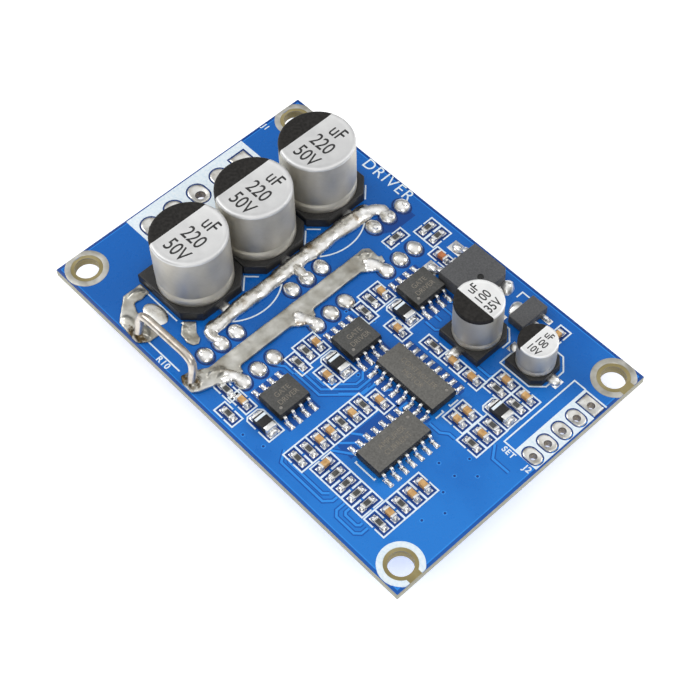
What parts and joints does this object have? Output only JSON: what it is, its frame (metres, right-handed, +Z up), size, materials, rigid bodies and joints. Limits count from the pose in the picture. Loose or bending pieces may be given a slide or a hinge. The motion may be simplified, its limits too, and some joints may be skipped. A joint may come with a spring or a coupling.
{
  "type": "three-phase motor driver board",
  "caption": "Flat rectangular driver board: can capacitors, gate drivers and a controller on top, power transistors lying underneath, corner screw holes, solder pads at both ends.",
  "frame": {"origin": "under the centre of the board, on the plane that the power transistors' metal tabs rest on", "axes": "+X along the board's long side, from the power pads to the signal pads; +Y from the near edge, where the shunt wire is, to the far edge; +Z up, out of the component side"},
  "size_m": [0.063, 0.042, 0.0164],
  "materials": {
    "solder_mask": "glossy blue solder mask over glass laminate",
    "can_aluminium": "satin drawn aluminium",
    "winding": "wound foil and paper",
    "base_plastic": "moulded, slightly glossy",
    "package_plastic": "moulded epoxy",
    "chip_plastic": "moulded epoxy, finely grained",
    "solder": "bright uneven solder",
    "tinned_copper": "dull hot-tinned",
    "capacitor_ceramic": "tan fired ceramic",
    "resistor_ceramic": "dark glaze with tinned ends"
  },
  "bodies": {
    "root": {"amplifier_feedback_row": "resistor_ceramic", "amplifier_supply_chip": "capacitor_ceramic", "bootstrap_chip_near": "capacitor_ceramic", "bootstrap_parts_middle": "resistor_ceramic", "bootstrap_parts_near": "resistor_ceramic", "bulk_capacitor_far_base": "base_plastic", "bulk_capacitor_far_can": "can_aluminium", "bulk_capacitor_far_winding": "winding", "bulk_capacitor_middle_base": "base_plastic", "bulk_capacitor_middle_can": "can_aluminium", "bulk_capacitor_middle_winding": "winding", "bulk_capacitor_near_base": "base_plastic", "bulk_capacitor_near_can": "can_aluminium", "bulk_capacitor_near_winding": "winding", "catch_diode_far": "package_plastic", "catch_diode_middle": "package_plastic", "catch_diode_near": "package_plastic", "circuit_board": "solder_mask", "controller_chip_a": "resistor_ceramic", "controller_chip_b": "capacitor_ceramic", "controller_chip_c": "capacitor_ceramic", "current_amplifier": "chip_plastic", "current_shunt": "tinned_copper", "divider_chips": "resistor_ceramic", "driver_supply_chip_far": "capacitor_ceramic", "driver_supply_chip_middle": "capacitor_ceramic", "driver_supply_chip_near": "capacitor_ceramic", "gate_chip_far": "resistor_ceramic", "gate_chip_near": "resistor_ceramic", "gate_driver_far": "chip_plastic", "gate_driver_middle": "chip_plastic", "gate_driver_near": "chip_plastic", "high_side_transistor_far": "package_plastic", "high_side_transistor_middle": "package_plastic", "high_side_transistor_near": "package_plastic", "input_filter_column": "resistor_ceramic", "logic_supply_regulator": "package_plastic", "low_side_transistor_far": "package_plastic", "low_side_transistor_middle": "package_plastic", "low_side_transistor_near": "package_plastic", "motor_controller": "chip_plastic", "motor_supply_regulator": "package_plastic", "output_filter": "resistor_ceramic", "regulator_capacitor_base": "base_plastic", "regulator_capacitor_can": "can_aluminium", "regulator_capacitor_winding": "winding", "regulator_chip": "capacitor_ceramic", "return_bar": "tinned_copper", "sense_chip": "resistor_ceramic", "sense_network_far": "resistor_ceramic", "sense_network_near": "resistor_ceramic", "shunt_land": "tinned_copper", "signal_filter": "resistor_ceramic", "spare_land": "tinned_copper", "supply_capacitor_base": "base_plastic", "supply_capacitor_can": "can_aluminium", "supply_capacitor_winding": "winding", "supply_diode": "package_plastic", "supply_track": "solder", "timing_chips": "capacitor_ceramic"}
  },
  "joints": []
}
